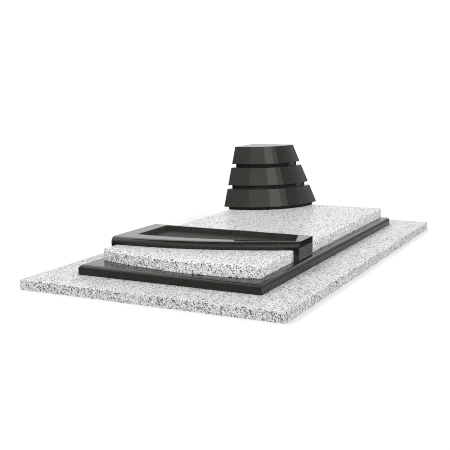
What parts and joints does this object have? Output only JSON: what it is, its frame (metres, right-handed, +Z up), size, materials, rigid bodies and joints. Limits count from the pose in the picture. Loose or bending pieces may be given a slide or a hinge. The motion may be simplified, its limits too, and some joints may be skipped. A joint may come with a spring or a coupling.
{
  "type": "stone grave monument",
  "caption": "Low grave monument: pale base slab, dark kerb, pale ledger, a dark planter across it and a tiered quarter-round stele at a back corner.",
  "frame": {"origin": "middle of the base slab's underside", "axes": "+X to the right along the front, +Y from the front to the back, +Z up"},
  "size_m": [1.4, 2.4, 0.5595],
  "materials": {
    "pale_granite": "satin white and grey speckled granite",
    "dark_granite": "polished near-black granite"
  },
  "bodies": {
    "root": {"base_slab": "pale_granite", "kerb_front": "dark_granite", "kerb_left": "dark_granite", "kerb_right": "dark_granite", "kerb_back": "dark_granite", "ledger": "pale_granite", "planter": "dark_granite", "stele_foot": "dark_granite", "stele_tier_1": "dark_granite", "stele_spacer_1": "dark_granite", "stele_tier_2": "dark_granite", "stele_spacer_2": "dark_granite", "stele_tier_3": "dark_granite"}
  },
  "joints": []
}
